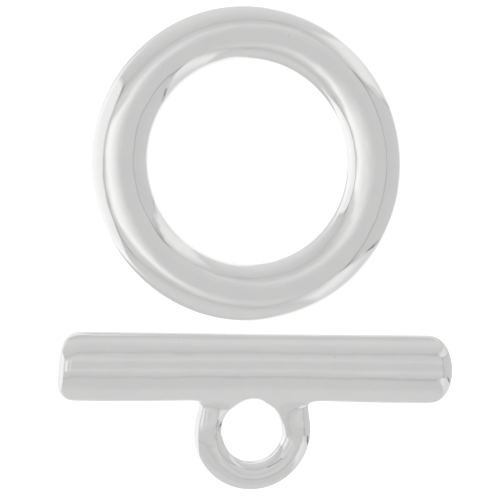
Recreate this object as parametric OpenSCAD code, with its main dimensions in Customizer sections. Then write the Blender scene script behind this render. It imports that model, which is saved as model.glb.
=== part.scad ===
// Toggle clasp: a plain round ring and a straight bar with a wire eye.
// The bar turns in line with its chain, goes through the ring and locks across it.
// Both pieces lie side by side on the plane z = 0, the ring above the bar.
// X runs along the bar, Y from the bar to the ring, Z up.

/* [Ring] */
// Outside diameter of the ring
ring_od = 15; // [9:0.5:25]
// Diameter of the ring's round wire
ring_wire = 2.62; // [1.6:0.02:3.4]

/* [Bar] */
// Length of the bar over both ends
bar_len = 18.9; // [17:0.1:32]
// Diameter of the bar at its full thickness
bar_d = 3.28; // [2.6:0.02:4.4]
// How deep polishing has worn the bar's waist, above the eye
waist_depth = 0.07; // [0:0.01:0.3]
// Length of the waist, from full thickness to full thickness
waist_len = 14; // [6:0.5:14]
// Corner radius of the cut end
cut_corner_r = 0.55; // [0.2:0.05:1.2]
// Crown radius of the cut end, which is nearly flat
cut_crown_r = 9; // [5:0.5:20]
// Corner radius of the domed end
dome_corner_r = 0.95; // [0.2:0.05:1.2]
// Crown radius of the domed end
dome_crown_r = 2.4; // [2.3:0.1:20]

/* [Eye] */
// Diameter of the eye's round wire
eye_wire = 1.36; // [0.9:0.02:1.8]
// Diameter of the eye's hole
eye_hole = 2.92; // [2:0.02:4]
// Metal left between the bar's waist and the eye's hole
hole_clear = 0.08; // [0:0.01:0.5]
// Sideways place of the eye, from the middle of the bar
eye_x = -0.13; // [-1:0.01:1]
// Radius of the solder fillet outside each foot of the eye
fillet_r = 0.46; // [0.2:0.02:0.6]

/* [Layout] */
// Gap between the ring and the bar as they lie
lie_gap = 0.65; // [0.3:0.05:5]
// Sideways place of the ring's middle, from the middle of the bar
ring_x = -0.6; // [-3:0.05:3]

/* [Hidden] */
$fn = 96;

ring_r = (ring_od - ring_wire) / 2;
eye_r = (eye_hole + eye_wire) / 2;

// From the bar's axis to the middle of the eye
eye_reach = bar_d / 2 - waist_depth + hole_clear + eye_hole / 2;

// The bar lies on the plane, and its eye leans down until it touches the plane too
eye_lean = asin((bar_d - eye_wire) / 2 / (eye_reach + eye_r));
eye_drop = (eye_reach + eye_r) * cos(eye_lean) + eye_wire / 2;

// The whole layout, from the eye's far edge to the ring's, is centred on Y
lie_w = eye_drop + bar_d / 2 + lie_gap + ring_od;
bar_y = eye_drop - lie_w / 2;
ring_y = lie_w / 2 - ring_od / 2;

// Steps round an end's corner, round its crown, and along half of the waist
corner_steps = 6;
crown_steps = 6;
waist_steps = 8;

// How deep a foot's fillet is sunk into the wire and the bar, so that they fuse
fillet_sink = 0.01;

// How far a fillet's bend runs on inside the bar, in degrees
fillet_run_on = 20;

function on_arc(mid, r, a) = mid + r * [cos(a), sin(a)];

// Half outline of a rounded end, [radius, distance], from the axis to the side
function end_outline(r, corner_r, crown_r) =
    let (
        corner_x = r - corner_r,
        corner_y = sqrt(pow(crown_r - corner_r, 2) - pow(corner_x, 2)),
        meet = atan2(corner_y, corner_x)
    )
    concat(
        [for (i = [0 : crown_steps])
            on_arc([0, -crown_r], crown_r, 90 + (meet - 90) * i / crown_steps)],
        [for (i = [1 : corner_steps])
            on_arc([corner_x, corner_y - crown_r], corner_r, meet * (1 - i / corner_steps))]
    );

// The bar's radius at a distance from its middle: full, easing down to the waist
function bar_radius(x) =
    let (share = min(1, abs(x) / (waist_len / 2)))
    bar_d / 2 - waist_depth * (1 + cos(180 * share)) / 2;

// Half outline of the bar, [radius, distance along the bar]
function bar_outline() =
    let (
        r = bar_d / 2,
        domed = end_outline(r, dome_corner_r, dome_crown_r),
        cut = end_outline(r, cut_corner_r, cut_crown_r),
        last = len(cut) - 1
    )
    concat(
        [for (p = domed) [p[0], bar_len / 2 + p[1]]],
        [for (i = [waist_steps : -1 : -waist_steps])
            let (x = waist_len / 2 * i / waist_steps) [bar_radius(x), x]],
        [for (i = [last : -1 : 0]) [cut[i][0], -bar_len / 2 - cut[i][1]]]
    );

module ring_of_wire(mid_r, wire, turn = 360) {
    rotate_extrude(angle = turn) translate([mid_r, 0]) circle(d = wire);
}

module toggle_ring() {
    color("silver")
        translate([ring_x, ring_y, ring_wire / 2])
            ring_of_wire(ring_r, ring_wire);
}

// A foot's solder fillet: a short bend of wire that leaves the eye's outer side,
// curves away from it and runs into the bar. Its inner side is the fillet's curve.
// side is 1 for the foot toward +X and -1 for the other.
module foot_fillet(side) {
    outer_r = eye_r + eye_wire / 2;
    bend_wire = eye_wire - 2 * fillet_sink;
    foot_edge = eye_reach - bar_radius(eye_x + side * outer_r);
    bend_y = foot_edge - fillet_r + fillet_sink;
    bend_x = sqrt(pow(outer_r + fillet_r - fillet_sink, 2) - pow(bend_y, 2));
    start = 90 - fillet_run_on;
    turn = 180 + atan2(bend_y, bend_x) - start;
    mirror([side < 0 ? 1 : 0, 0, 0])
        translate([bend_x, bend_y, 0])
            rotate([0, 0, start])
                ring_of_wire(fillet_r + bend_wire / 2, bend_wire, turn);
}

module toggle_bar() {
    color("silver")
        translate([0, bar_y, bar_d / 2])
            union() {
                rotate([0, 90, 0]) rotate_extrude() polygon(bar_outline());
                rotate([eye_lean, 0, 0])
                    translate([eye_x, -eye_reach, 0]) {
                        ring_of_wire(eye_r, eye_wire);
                        foot_fillet(1);
                        foot_fillet(-1);
                    }
            }
}

toggle_ring();
toggle_bar();
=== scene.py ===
# A silver toggle clasp, photographed from above in a light tent: a plain round ring and, below it,
# a straight bar with a wire eye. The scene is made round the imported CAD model, in metres.
import math

import bmesh
import bpy
from mathutils import Matrix, Vector


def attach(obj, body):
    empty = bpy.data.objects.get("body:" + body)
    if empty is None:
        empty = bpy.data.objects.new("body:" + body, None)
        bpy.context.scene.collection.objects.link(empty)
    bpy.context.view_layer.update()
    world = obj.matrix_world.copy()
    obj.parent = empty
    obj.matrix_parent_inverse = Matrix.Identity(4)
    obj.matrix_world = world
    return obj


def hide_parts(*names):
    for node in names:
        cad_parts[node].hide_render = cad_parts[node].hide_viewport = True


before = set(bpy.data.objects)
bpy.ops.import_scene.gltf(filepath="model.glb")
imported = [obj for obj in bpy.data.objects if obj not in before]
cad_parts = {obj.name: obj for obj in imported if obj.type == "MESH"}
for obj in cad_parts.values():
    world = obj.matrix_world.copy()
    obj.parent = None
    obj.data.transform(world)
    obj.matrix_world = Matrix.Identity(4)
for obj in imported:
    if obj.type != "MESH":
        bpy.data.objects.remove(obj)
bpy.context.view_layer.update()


# The camera: a long lens close above the clasp, a little to its left, as the ring's and the
# bar's outlines say. Lengths are millimetres times mm.
mm = 0.001
lens_yaw = math.radians(12.32)
lens_pitch = math.radians(0.91)
lens_roll = math.radians(0.81)
lens_length = 201.96
aim = Vector((-0.146, -0.10, 0.0)) * mm
stand_off = 135 * mm

to_lens = Vector((
    -math.sin(lens_yaw) * math.cos(lens_pitch),
    -math.sin(lens_pitch),
    math.cos(lens_yaw) * math.cos(lens_pitch),
))
across = Vector((0, 1, 0)).cross(to_lens).normalized()
upward = to_lens.cross(across)
turned_across = across * math.cos(lens_roll) + upward * math.sin(lens_roll)
turned_upward = upward * math.cos(lens_roll) - across * math.sin(lens_roll)

camera = bpy.data.objects.new("camera", bpy.data.cameras.new("camera"))
bpy.context.scene.collection.objects.link(camera)
camera.matrix_world = Matrix.Translation(aim + to_lens * stand_off) @ Matrix(
    (turned_across, turned_upward, to_lens)
).transposed().to_4x4()
camera.data.sensor_width = 36
camera.data.lens = lens_length
camera.data.clip_start = 5 * mm
camera.data.clip_end = 10
bpy.context.scene.camera = camera
bpy.context.scene.view_settings.view_transform = "Standard"


# The ring: heavy round silver wire bent round, soldered shut and polished bright. Its wire is a
# little thicker on the bar's side and the left than elsewhere, as the photograph shows.
ring_at = Vector((-0.6, 4.012, 0)) * mm
ring_mid = 6.195 * mm
ring_wire = 1.315 * mm
ring_slices = 48
ring_sides = 12

# A corner lies in a direction when it is within so many degrees of it
in_line = math.cos(math.radians(2.5))


def swell(turn):
    """How much larger a cage is than the round shape it smooths down to, by its corners' turn."""
    return 3 / (2 + math.cos(turn))


def choose(piece, kind, test):
    """Selects the corners, open edges or faces of a piece in edit mode whose places pass a test."""
    mesh = bmesh.from_edit_mesh(piece.data)
    bpy.ops.mesh.select_all(action="DESELECT")
    bpy.ops.mesh.select_mode(type=kind)
    if kind == "FACE":
        for face in mesh.faces:
            face.select_set(test(face.calc_center_median()))
    elif kind == "EDGE":
        for edge in mesh.edges:
            edge.select_set(edge.is_boundary and test((edge.verts[0].co + edge.verts[1].co) / 2))
    else:
        for corner in mesh.verts:
            corner.select_set(test(corner.co))
    mesh.select_flush_mode()
    bmesh.update_edit_mesh(piece.data)


def smooth_down(piece):
    """Ends a piece's modelling: its cage becomes the smooth shape inside it."""
    bpy.ops.object.mode_set(mode="OBJECT")
    smooth = piece.modifiers.new("smooth", "SUBSURF")
    smooth.levels = smooth.render_levels = 3
    bpy.ops.object.modifier_apply(modifier=smooth.name)
    bpy.ops.object.shade_smooth()


bpy.ops.object.select_all(action="DESELECT")
bpy.ops.mesh.primitive_torus_add(
    major_segments=ring_slices, minor_segments=ring_sides,
    major_radius=ring_mid, minor_radius=ring_wire * swell(2 * math.pi / ring_sides),
    location=ring_at + Vector((0, 0, ring_wire)))
ring = bpy.context.object
ring.name = "ring_of_wire"
wider = swell(2 * math.pi / ring_slices)
ring.scale = (wider, wider, 1)
bpy.ops.object.transform_apply(location=True, rotation=True, scale=True)

# Each slice across the wire grows toward the thickest place, and its outer edge stays where it is.
# On the ring's right the wire's inner shoulder is pressed fuller, and a share of that goes all
# round: pressed has degrees up from the wire's outer side, and shares of its radius.
thick_at = math.radians(-120)
thicker = 0.036
pressed_at = math.radians(10)
pressed_all_round = 0.3
pressed = ((90, -0.016), (120, -0.045), (150, 0.085), (180, -0.02))
bpy.ops.object.mode_set(mode="EDIT")
for slice_no in range(ring_slices):
    turn = 2 * math.pi * slice_no / ring_slices
    out = Vector((math.cos(turn), math.sin(turn), 0))
    wire_middle = ring_at + ring_mid * wider * out + Vector((0, 0, ring_wire))
    pressing = max(0, pressed_all_round + (1 - pressed_all_round) * math.cos(turn - pressed_at))
    for side, share in pressed:
        way = math.cos(math.radians(side)) * out + Vector((0, 0, math.sin(math.radians(side))))
        choose(ring, "VERT", lambda at: (at - wire_middle).length < 2 * ring_wire
               and (at - wire_middle).normalized().dot(way) > in_line)
        fuller = 1 + share * pressing
        bpy.ops.transform.resize(value=(fuller, fuller, fuller), center_override=wire_middle)
    gain = 1 + thicker * math.cos(turn - thick_at)
    choose(ring, "VERT", lambda at: (at - ring_at).xy.normalized().dot(out.xy) > in_line)
    bpy.ops.transform.resize(value=(gain, gain, gain),
                             center_override=ring_at + (ring_mid + ring_wire) * out)
smooth_down(ring)


class Signal:
    """One output socket of a shader node. Sums on it add Math nodes."""

    def __init__(self, tree, socket=None):
        self.tree = tree
        self.socket = socket

    def node(self, kind, settings=None, **inputs):
        """Adds a node. An input is named by its socket, or by i and its number."""
        made = self.tree.nodes.new(kind)
        for name, value in (settings or {}).items():
            setattr(made, name, value)
        for name, value in inputs.items():
            spot = int(name[1:]) if name[0] == "i" and name[1:].isdigit() else name.replace("_", " ")
            if isinstance(value, Signal):
                self.tree.links.new(value.socket, made.inputs[spot])
            else:
                made.inputs[spot].default_value = value
        return made

    def out(self, kind, settings=None, pick=0, **inputs):
        """Adds a node and gives the output that is picked."""
        return Signal(self.tree, self.node(kind, settings, **inputs).outputs[pick])

    def sum(self, operation, *values):
        return self.out("ShaderNodeMath", {"operation": operation},
                        **{"i%d" % i: value for i, value in enumerate(values)})

    def __add__(self, other):
        return self.sum("ADD", self, other)

    def __radd__(self, other):
        return self.sum("ADD", other, self)

    def __sub__(self, other):
        return self.sum("SUBTRACT", self, other)

    def __rsub__(self, other):
        return self.sum("SUBTRACT", other, self)

    def __mul__(self, other):
        return self.sum("MULTIPLY", self, other)

    def __rmul__(self, other):
        return self.sum("MULTIPLY", other, self)

    def __truediv__(self, other):
        return self.sum("DIVIDE", self, other)

    def clear(self, low, high):
        """0 at low, 1 at high, and smooth between them. low may be the greater."""
        return self.out("ShaderNodeMapRange", {"interpolation_type": "SMOOTHSTEP"},
                        i0=self, i1=low, i2=high, i3=0.0, i4=1.0)

    def bell(self, middle, width):
        """1 at the middle, falling off smoothly to both sides over the width."""
        away = (self - middle) * (1 / width)
        return self.sum("EXPONENT", away * away * -1.0)


def off_line(spot, here, there):
    """How far a spot, given as its signals, is from the straight line between two places."""
    run = math.dist(here, there)
    ways = [(at - start_at, (end_at - start_at) / run)
            for at, start_at, end_at in zip(spot, here, there)]
    along = sum(away * way for away, way in ways)
    along = along.sum("MINIMUM", along.sum("MAXIMUM", along, 0.0), run)
    off = sum((away - along * way) * (away - along * way) for away, way in ways)
    return off.sum("SQRT", off)


def bare_material(name):
    """A new material without nodes, and the signal that its nodes start from."""
    made = bpy.data.materials.new(name)
    made.use_nodes = True
    made.node_tree.nodes.clear()
    return made, Signal(made.node_tree)


def polished_silver(name, buffed, nick=()):
    """Silver after years of buffing and wear. buffed turns a spot's x, y and z in mm into two
    lengths along the way it was buffed and two across it. nick has the places of one deep cut."""
    made, start = bare_material(name)
    spot = start.node("ShaderNodeSeparateXYZ", i0=start.out("ShaderNodeTexCoord", pick=3))
    x, y, z = (Signal(start.tree, socket) * (1 / mm) for socket in spot.outputs)
    a, b, c, d = buffed(x, y, z)

    def noise(size, stretch=1.0, detail=1.0, rough=0.5):
        """Noise with so many waves to the mm, drawn out along the way of the buffing."""
        where = start.out("ShaderNodeCombineXYZ", i0=a * (1 / stretch), i1=b * (1 / stretch), i2=c)
        return start.out("ShaderNodeTexNoise", {"noise_dimensions": "4D"}, Vector=where, W=d,
                         Scale=size, Detail=detail, Roughness=rough)

    # A few small knocks here and there, and the nick, which is so many times as deep
    whole = start.out("ShaderNodeCombineXYZ", i0=x, i1=y, i2=z)
    knocks = start.out("ShaderNodeTexVoronoi", Vector=whole, Scale=1.3, Randomness=1.0)
    knocks = knocks.clear(0.07, 0.02) * noise(0.35).clear(0.5, 0.6)
    nick_depth = 2.2
    for here, there in zip(nick, nick[1:]):
        cut = off_line((x, y, z), here, there).clear(0.05, 0.01)
        knocks = start.sum("MAXIMUM", knocks, cut * nick_depth)

    # Soft waves left by filing and the fine lines of the buffing wheel, in thousandths of a mm
    waves = noise(0.55, stretch=2) * 20 + noise(2.0, stretch=2.5) * 20
    lines = noise(12, stretch=10, detail=3, rough=0.6) * 0.08
    bumped = start.out("ShaderNodeBump", Height=waves + lines - knocks * 1.2,
                       Distance=0.001 * mm, Strength=1.0)

    # Tarnish hides in the knocks, and handling leaves faint clouds and duller rubs on the polish
    bright, clouded, tarnish = (0.958, 0.955, 0.951, 1), (0.934, 0.932, 0.93, 1), (0.3, 0.29, 0.27, 1)
    clouds = noise(0.8, detail=4, rough=0.6).clear(0.3, 0.7)
    rubs = noise(3.4, stretch=8, detail=2).clear(0.6, 0.72)
    silver = start.out("ShaderNodeMix", {"data_type": "RGBA"}, pick=2, i0=clouds, i6=bright, i7=clouded)
    silver = start.out("ShaderNodeMix", {"data_type": "RGBA"}, pick=2,
                       i0=knocks * 0.25, i6=silver, i7=tarnish)
    dull = 0.045 + clouds * 0.03 + rubs * 0.04 + knocks * 0.1
    shader = start.out("ShaderNodeBsdfPrincipled", Metallic=1.0, Roughness=dull, Base_Color=silver,
                       Normal=bumped)
    start.node("ShaderNodeOutputMaterial", Surface=shader)
    return made


def round_the_ring(x, y, z):
    """The ring was buffed round and round: the first two tell the way round it."""
    x, y = x - ring_at.x / mm, y - ring_at.y / mm
    out = x.sum("SQRT", x * x + y * y)
    return x / out * (ring_mid / mm), y / out * (ring_mid / mm), out, z


ring.data.materials.append(polished_silver("ring_silver", round_the_ring))
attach(ring, "root")
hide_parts("toggle_ring")

# The ring and the bar mirror their tents alone, neither themselves nor each other
ring.visible_glossy = False


# The bar: a straight rod of silver, cut a little aslant at its left end and domed at its right,
# with an eye of round wire soldered on at its middle. Polishing has run all of it into one.
bar_at = Vector((0, -5.7243, 1.64)) * mm
rod = 1.64 * mm
rod_sides = 20
straight = 8.0 * mm

# A corner is at a place when it is less than a hair from it
hair = 0.01 * mm
bpy.ops.object.select_all(action="DESELECT")
bpy.ops.mesh.primitive_cylinder_add(
    vertices=rod_sides, radius=rod * swell(2 * math.pi / rod_sides), depth=2 * straight,
    end_fill_type="NOTHING", rotation=(0, math.pi / 2, 0))
bar = bpy.context.object
bar.name = "bar_with_eye"
bpy.ops.object.transform_apply(location=True, rotation=True, scale=True)
bpy.ops.object.mode_set(mode="EDIT")
bpy.ops.mesh.select_all(action="SELECT")
bpy.ops.transform.rotate(value=math.pi / rod_sides, orient_axis="X", center_override=(0, 0, 0))

# The rod is cut across where the eye's feet begin and end, from the eye's middle, and further out
eye_x = -0.13 * mm
foot_in = 0.36 * mm
foot_out = 2.86 * mm
foot_length = foot_out - foot_in
further_out = (3.5 * mm, 4.6 * mm, 6.0 * mm, 7.3 * mm)
cuts = [eye_x]
for side in (-1, 1):
    cuts += [eye_x + side * (foot_in + foot_length * step / 3) for step in range(4)]
    cuts += [eye_x + side * out for out in further_out]
for cut in cuts:
    bpy.ops.mesh.select_all(action="SELECT")
    bpy.ops.mesh.bisect(plane_co=(cut, 0, 0), plane_no=(1, 0, 0))

# Polishing has worn the rod's waist, most of it on the eye's side
waist_depth = 0.07 * mm
waist_lift = 0.05 * mm
waist_half = 7 * mm
for cut in cuts:
    worn = (1 + math.cos(math.pi * min(1, abs(cut) / waist_half))) / 2
    slim = 1 - worn * waist_depth / rod
    choose(bar, "VERT", lambda at: abs(at.x - cut) < hair)
    bpy.ops.transform.resize(value=(1, slim, slim), center_override=(cut, 0, 0))
    bpy.ops.transform.translate(value=(0, worn * waist_lift, 0))


# Each end is turned with so many steps round its corner and over its crown
corner_steps = 4
crown_steps = 3


def end_rings(corner, crown):
    """The rings of a rounded end, from its side inwards: distance out along the rod and radius."""
    across = rod - corner
    up = math.sqrt((crown - corner) ** 2 - across ** 2)
    meet = math.atan2(up, across)
    loose = swell(meet / corner_steps)
    rings = [(up + corner * loose * math.sin(meet * i / corner_steps) - crown,
              across + corner * loose * math.cos(meet * i / corner_steps))
             for i in range(1, corner_steps + 1)]
    crown_step = (math.pi / 2 - meet) / crown_steps
    for i in range(1, crown_steps):
        turn = meet + crown_step * i
        rings.append((crown * swell(crown_step) * math.sin(turn) - crown,
                      crown * swell(crown_step) * math.cos(turn)))
    return up - crown, rings


def push(way, room, falloff="SMOOTH"):
    """Pushes what is chosen a way, and what lies round it less and less, out to the room's edge."""
    bpy.ops.transform.translate(value=way, use_proportional_edit=True, proportional_size=room,
                                proportional_edit_falloff=falloff)


# Side, reach, radius of the corner and of the crown, and how far the end is turned about Z and Y
cut_end = (-1, 9.58 * mm, 0.74 * mm, 9 * mm, math.radians(2.8), math.radians(10))
domed_end = (1, 9.48 * mm, 0.95 * mm, 2.4 * mm, math.radians(-2), 0)
for side, reach, corner, crown, tilt, slant in (cut_end, domed_end):
    level, rings = end_rings(corner, crown)
    choose(bar, "EDGE", lambda at: abs(at.x - side * straight) < hair)
    was_out, was_size = straight, rod
    for out, size in [(level, rod)] + rings:
        out += reach
        bpy.ops.mesh.extrude_edges_move(
            TRANSFORM_OT_translate={"value": (side * (out - was_out), 0, 0)})
        bpy.ops.transform.resize(value=(1, size / was_size, size / was_size),
                                 center_override=(side * out, 0, 0))
        was_out, was_size = out, size
    bpy.ops.mesh.fill_grid(span=5)

    # The grid over the end is pushed out in one crown, from its middle
    choose(bar, "VERT", lambda at: side * at.x > out - hair and math.hypot(at.y, at.z) < 0.1 * size)
    push((side * (crown - math.sqrt(crown ** 2 - size ** 2)), 0, 0), size, "INVERSE_SQUARE")
    choose(bar, "VERT", lambda at: side * at.x > reach + level - 5 * hair)
    middle = (side * (reach + level), 0, 0)
    bpy.ops.transform.rotate(value=tilt, orient_axis="Z", center_override=middle)
    bpy.ops.transform.rotate(value=slant, orient_axis="Y", center_override=middle)

# The cut end's far corner has been filed off a little further
choose(bar, "VERT", lambda at: at.x < -9.1 * mm and at.y > 1.0 * mm)
push((0.035 * mm, -0.04 * mm, 0), 0.6 * mm)


def round_rod(at):
    """How far round the rod a place is from the eye's side."""
    return abs(math.atan2(at.z, -at.y))


# The feet: a patch of three faces by three comes out where each end of the wire goes in. Its rim
# is drawn in by shares along the rod, down and across, for its corners, its sides and its ends.
foot_spread = 1.5 * 2 * math.pi / rod_sides
past_rim = 1.1
foot_rim = ((True, True, (0.744, 1.055, 0.753)), (False, True, (0.777, 1, 1)),
            (True, False, (0.966, 1, 0.8)))
for side in (-1, 1):
    middle = eye_x + side * (foot_in + foot_out) / 2
    choose(bar, "FACE", lambda at: abs(at.x - middle) < foot_length / 2
           and round_rod(at) < foot_spread)
    bpy.ops.mesh.delete(type="FACE")
    for at_end, at_side, shares in foot_rim:
        choose(bar, "VERT", lambda at: abs(at.x - middle) < past_rim * foot_length / 2
               and round_rod(at) < past_rim * foot_spread
               and (abs(at.x - middle) > 0.3 * foot_length) == at_end
               and (round_rod(at) > foot_spread / 2) == at_side)
        bpy.ops.transform.resize(value=shares, center_override=(middle, 0, 0))

# The eye's wire, spun round the eye's middle from foot to foot
eye_middle = Vector((eye_x, -3.11 * mm, 0))
eye_mid = 2.14 * mm
eye_wire = 0.68 * mm
eye_room = 3.05 * mm
wire_sides = 12
eye_turn = math.radians(224)
eye_steps = 13
eye_step = eye_turn / eye_steps
opened = swell(eye_step)
foot = eye_middle + Vector((eye_mid * opened, 0, 0))
bpy.ops.mesh.select_all(action="DESELECT")
bpy.ops.mesh.primitive_circle_add(
    vertices=wire_sides, radius=eye_wire * swell(2 * math.pi / wire_sides),
    location=foot, rotation=(math.pi / 2, 0, 0))
bpy.ops.transform.rotate(value=math.pi / wire_sides, orient_axis="Y", center_override=foot)
bpy.ops.transform.resize(value=(opened, 1, 1), center_override=foot)
bpy.ops.transform.rotate(value=eye_turn / 2 - 1.5 * math.pi, orient_axis="Z",
                         center_override=eye_middle)
bpy.ops.mesh.spin(steps=eye_steps, angle=-eye_turn, center=eye_middle, axis=(0, 0, 1))

# Toward each foot the wire's slices fan out, so that the hole stays round up to the rod. The left
# foot is the slimmer one. For each slice: steps back from the foot, degrees, side and stretch.
fanned = ((0, 20, -1, 1.08), (0, 20, 1, 1.14), (1, 10, -1, 1.02), (1, 10, 1, 1.04))
for back, fan, side, stretch in fanned:
    turn = side * (eye_turn / 2 - back * eye_step)
    along = Vector((math.sin(turn), -math.cos(turn), 0))
    choose(bar, "VERT", lambda at: (at - eye_middle).length < eye_room
           and (at - eye_middle).xy.normalized().dot(along.xy) > in_line)
    outer = eye_middle + (eye_mid + eye_wire) * along
    bpy.ops.transform.resize(value=(stretch, stretch, 1), center_override=outer)
    bpy.ops.transform.rotate(value=-side * math.radians(fan), orient_axis="Z", center_override=outer)

# Each end of the wire is joined to its patch, with one ring between them for the solder
for side in (-1, 1):
    choose(bar, "EDGE", lambda at: side * (at.x - eye_x) > 0)
    bpy.ops.mesh.bridge_edge_loops(number_cuts=1, smoothness=0.7, interpolation="SURFACE")

# The solder fills the hole's corner at the right foot
solder_at = eye_middle + Vector((0.4, 1.58, 0)) * mm
choose(bar, "VERT", lambda at: (at - solder_at).length < 0.3 * mm)
push((-0.1 * mm, -0.1 * mm, 0), 0.5 * mm)
bpy.ops.mesh.select_all(action="SELECT")
bpy.ops.mesh.remove_doubles(threshold=0.1 * hair)
bpy.ops.mesh.normals_make_consistent(inside=False)
smooth_down(bar)

# The eye hangs down until it touches the table, as the bar lies
eye_lean = math.radians(10.536)
bar.matrix_world = Matrix.Translation(bar_at) @ Matrix.Rotation(eye_lean, 4, "X")
bpy.ops.object.transform_apply(location=True, rotation=True, scale=True)

# The bar was buffed lengthwise. The nick is on the eye, at the right of its hole.
eye_nick = ((0.57, -10.46, 1.33), (0.92, -10.28, 1.38), (1.24, -10.04, 1.44))
bar.data.materials.append(polished_silver("bar_silver", lambda x, y, z: (x, 0.0, y, z), eye_nick))
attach(bar, "root")
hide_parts("toggle_bar")
bar.visible_glossy = False


# The light tents: white cloth panels sewn together at dark seams, all round the metal, with a lamp
# behind the left half of the roof. The ring and the bar mirror their light differently, so each
# has a tent of its own, which lights that piece alone. The camera looks through both tents.
silver_mirrors = 0.94


def light(tone):
    """The light behind a grey tone from 0 to 255 that the silver shows, for the share it mirrors."""
    return ((tone / 255 + 0.055) / 1.055) ** 2.4 / silver_mirrors


def mix(low, high, share):
    """Light that goes from low, at share 0, to high, at share 1."""
    return low + (high - low) * share


def shade(low, high, share):
    """Light that goes from one grey tone to another."""
    return mix(light(low), light(high), share)


def mirrored_only(piece, name, glow_at, lit):
    """Gives a piece a glow that is only seen in the metal of a collection. glow_at works out its
    strength, which is added to what lies behind the piece."""
    made, start = bare_material(name)
    glow = start.out("ShaderNodeEmission", Strength=glow_at(start))
    behind = start.out("ShaderNodeBsdfTransparent")
    both = start.out("ShaderNodeAddShader", i0=glow, i1=behind)
    start.node("ShaderNodeOutputMaterial", Surface=both)
    made.cycles.emission_sampling = "NONE"
    piece.data.materials.append(made)
    piece.visible_camera = False
    piece.visible_diffuse = False
    piece.visible_shadow = False
    piece.light_linking.receiver_collection = lit


def hang_tent(name, metal, size, roof, out_to, corners, lamp, folds, ground, seams):
    """A tent's places are degrees from straight up, along each bearing: x east, y north. roof has
    its corners from the north-west one clockwise, out_to has the walls' side edges, and corners
    where the brighter walls across the corners begin and their tones near and far out."""
    nw, ne, se = roof[0], roof[2], roof[3]
    corner_x, ne_near, ne_far, se_near, se_far = corners

    def cloth(start):
        """The light of the tent's cloth in each direction."""
        toward = start.out("ShaderNodeVectorMath", {"operation": "NORMALIZE"},
                           i0=start.out("ShaderNodeTexCoord", pick=3))
        split = start.node("ShaderNodeSeparateXYZ", i0=toward)
        east, north, high = (Signal(start.tree, socket) for socket in split.outputs)
        from_top = start.sum("ARCCOSINE", high) * math.degrees(1)
        level = start.sum("MAXIMUM", start.sum("SQRT", east * east + north * north), 1e-4)
        x = from_top * east / level
        y = from_top * north / level

        def right_of(a, b):
            """Degrees to the right of the way from place a to place b."""
            run = math.dist(a, b)
            return (x - a[0]) * ((b[1] - a[1]) / run) - (y - a[1]) * ((b[0] - a[0]) / run)

        # The walls
        tone = mix(shade(197, 213, y.clear(48, 118)), shade(198, 205, y.clear(-64, -90)), y.clear(8, -8))

        # The brighter walls across the north-east and the south-east corner
        corner = right_of(*out_to["north"]).clear(-6, 5) * right_of(ne, out_to["ne"]).clear(0, -2)
        corner = corner * x.clear(corner_x, corner_x + 26)
        tone = mix(tone, shade(ne_near, ne_far, x.clear(70, 112)), corner)
        corner = right_of(*out_to["south"]).clear(6, -5) * right_of(se, out_to["se"]).clear(0, 2)
        corner = corner * x.clear(corner_x + 2, corner_x + 26)
        tone = mix(tone, shade(se_near, se_far, x.clear(55, 90)), corner)

        # The east wall, and the west one, which the sun is on
        side = right_of(ne, out_to["ne"]).clear(-1, 1) * right_of(se, out_to["se"]).clear(1, -1)
        tone = mix(tone, shade(197, 201, x.clear(50, 110)), side * x.clear(10, 30))
        side = right_of(nw, out_to["nw"]).clear(3, -3) * right_of(*out_to["sw"]).clear(-3, 3)
        tone = mix(tone, shade(236, 242, x.clear(-90, -120)), side * x.clear(-40, -60))

        # The roof with its lamp and its folds
        inside = 1.0
        for a, b in zip(roof, roof[1:] + roof[:1]):
            inside = inside * right_of(a, b).clear(-2.5, 2.5)
        brighter = lamp(x, y)
        for middle, width, more in folds:
            brighter = brighter + y.bell(middle, width) * more
        tone = mix(tone, shade(199, 246, brighter), inside)

        # The seams by width, depth and the places they go through, and the ground beyond the walls
        dark = 0.0
        for width, depth, places in seams:
            seam = 0.0
            for a, b in zip(places, places[1:]):
                seam = start.sum("MAXIMUM", seam, off_line((x, y), a, b).clear(width, 0.0))
            dark = dark + seam * depth
        return ground(x, y, from_top, tone * (1 - dark))

    bpy.ops.object.select_all(action="DESELECT")
    bpy.ops.mesh.primitive_uv_sphere_add(segments=64, ring_count=32, radius=size)
    tent = bpy.context.object
    tent.name = name
    lit = bpy.data.collections.new(name + "_lights")
    lit.objects.link(metal)
    mirrored_only(tent, name + "_cloth", cloth, lit)
    return lit


def ring_lamp(x, y):
    """The lamp's soft window in the ring's tent, and the brighter rims of the cloth before it."""
    rims = y.bell(27, 7) * x.bell(-16, 24) * 0.4 + (y + x * 0.2).bell(-41, 8) * x.bell(-22, 22) * 0.4
    window = (y - x * 0.07).clear(36, 27) * (y + x * 0.33).clear(-60, -45)
    return x.clear(-4, -62) * x.clear(-84, -60) * window + rims


def ring_ground(x, y, from_top, tone):
    """The table under the ring's tent: bright, and greyer to the north and the south."""
    north = y.clear(95, 120) * x.clear(60, 30)
    south = y.clear(-90, -115) * x.clear(70, 45)
    table = mix(shade(247, 216, north), light(199), south)
    return mix(tone, table, from_top.clear(116, 138))


def bar_lamp(x, y):
    """The lamp's window in the bar's tent, brightest far out to the west."""
    window = y.clear(32, 18) * y.clear(-18, -4)
    return window * (x.bell(-80, 13) * 0.8 + x.bell(-42, 10) * 0.25)


def bar_ground(x, y, from_top, tone):
    """The table under the bar's tent. The north wall's hem hangs dark before it."""
    hem = y.bell(118, 6) * 0.08
    north = shade(203, 232, x.clear(33, 25) * y.clear(120, 130)) * (1 - hem)
    tone = mix(tone, north, y.clear(92, 112) * x.clear(60, 50))
    return mix(tone, light(234), from_top.clear(138, 160))


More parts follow.
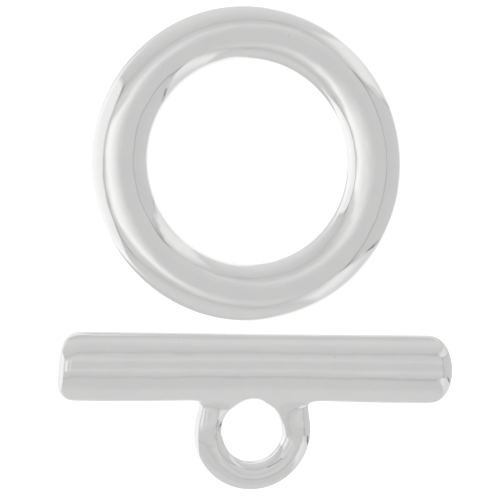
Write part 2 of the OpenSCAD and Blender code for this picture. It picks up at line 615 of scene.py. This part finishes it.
roof = [(-61, 47), (20, 54), (36, 27), (46, -27), (20, -62), (-71, -59), (-81, -38), (-85, -8), (-77, 22)]
nw, n, ne, se, s, sw = roof[:6]
west = (sw, roof[6], roof[7], roof[8], nw)
out_to = {"nw": (-87, 80), "ne": (115, 50), "se": (112, -37), "sw": ((-82, -40), (-94, -98)),
          "north": ((25, 54), (66, 80)), "south": ((30, -56), (69, -81))}
hang_tent("ring_tent", ring, 80 * mm, roof, out_to, (28, 229, 214, 231, 212), ring_lamp,
          [(35, 6, 0.17), (18, 6, 0.04), (-44, 9, 0.12)], ring_ground,
          [(9, 0.13, west), (4, 0.14, west), (5, 0.14, (nw, out_to["nw"])), (5, 0.14, out_to["sw"]),
           (7, 0.04, (ne, se)), (3, 0.24, (ne, se)), (4, 0.2, (ne, (70, 41), out_to["ne"])),
           (4, 0.24, (se, (64, -34), out_to["se"])), (3, 0.45, ((76, -34), (98, -38))),
           (9, 0.07, (nw, n)), (9, 0.05, (n, ne)), (9, 0.07, (sw, s)), (9, 0.05, (s, se)),
           (5, 0.06, ((80, -62), (69, -77), (43, -103), (33, -122)))])

roof = [(-97, 38), (25, 50), (50, 37), (56, -21), (18, -33), (-96, -36), (-100, -2)]
nw, n, ne, se, s, sw = roof[:6]
west = (sw, roof[6], nw)
out_to = {"nw": (-150, 74), "ne": (112, 40), "se": (122, -33), "sw": ((-100, -40), (-114, -110)),
          "north": ((36, 51), (90, 66)), "south": ((42, -41), (100, -80))}
bar_lit = hang_tent(
    "bar_tent", bar, 1200 * mm, roof, out_to, (16, 221, 211, 224, 216), bar_lamp,
    [(26, 7, 0.14), (-12, 6, 0.14), (38, 5, 0.03)], bar_ground,
    [(9, 0.1, west), (5, 0.1, west), (5, 0.14, (nw, out_to["nw"])), (5, 0.14, out_to["sw"]),
     (14, 0.04, (ne, se)), (4, 0.2, (ne, se)),
     (4, 0.14, (ne, out_to["ne"])), (4, 0.2, (se, (72, -27), (86, -22), out_to["se"])),
     (6, 0.6, ((94, -27), (116, -34))), (9, 0.08, (nw, n)), (9, 0.08, (n, ne)),
     (9, 0.08, (sw, s)), (9, 0.08, (s, se))])

# A glowing disc under the eye's hole, seen only in the bar's metal, paints a reflection of the white
# table onto the wire round the hole
bpy.ops.object.select_all(action="DESELECT")
bpy.ops.mesh.primitive_circle_add(vertices=48, radius=0.85 * mm, fill_type="NGON",
                                  location=(eye_x, bar_at.y - 2.4 * mm, hair))
eye_glow = bpy.context.object
eye_glow.name = "table_glow_in_the_eye"
# Its glow is a painted reflection of the lit table, added over the bar's tent and seen only in the bar
mirrored_only(eye_glow, "painted_table_glow", lambda start: light(240) - light(205), bar_lit)


# The floor: a plain white sheet, lit so evenly that it photographs white. The metal doesn't
# mirror it, because each tent has its own floor. From below, it is looked through.
bpy.ops.object.select_all(action="DESELECT")
bpy.ops.mesh.primitive_plane_add(size=4)
floor = bpy.context.object
floor.name = "floor"
floor.visible_glossy = False
sheet, start = bare_material("white_sheet")
matt = start.out("ShaderNodeBsdfDiffuse", Color=(0.8, 0.8, 0.8, 1))
own = start.out("ShaderNodeEmission", Strength=0.62)
both = start.out("ShaderNodeAddShader", i0=matt, i1=own)
under = start.out("ShaderNodeNewGeometry", pick=6)
gone = start.out("ShaderNodeBsdfTransparent")
seen = start.out("ShaderNodeMixShader", i0=under, i1=both, i2=gone)
start.node("ShaderNodeOutputMaterial", Surface=seen)
floor.data.materials.append(sheet)

# The room is white all round, and the metal mirrors none of it
room = bpy.data.worlds.new("room")
room.use_nodes = True
start = Signal(room.node_tree)
mirrored = start.out("ShaderNodeLightPath", pick=3)
start.tree.links.new((1 - mirrored).socket, room.node_tree.nodes["Background"].inputs["Strength"])
room.node_tree.nodes["Background"].inputs["Color"].default_value = (1, 1, 1, 1)
bpy.context.scene.world = room
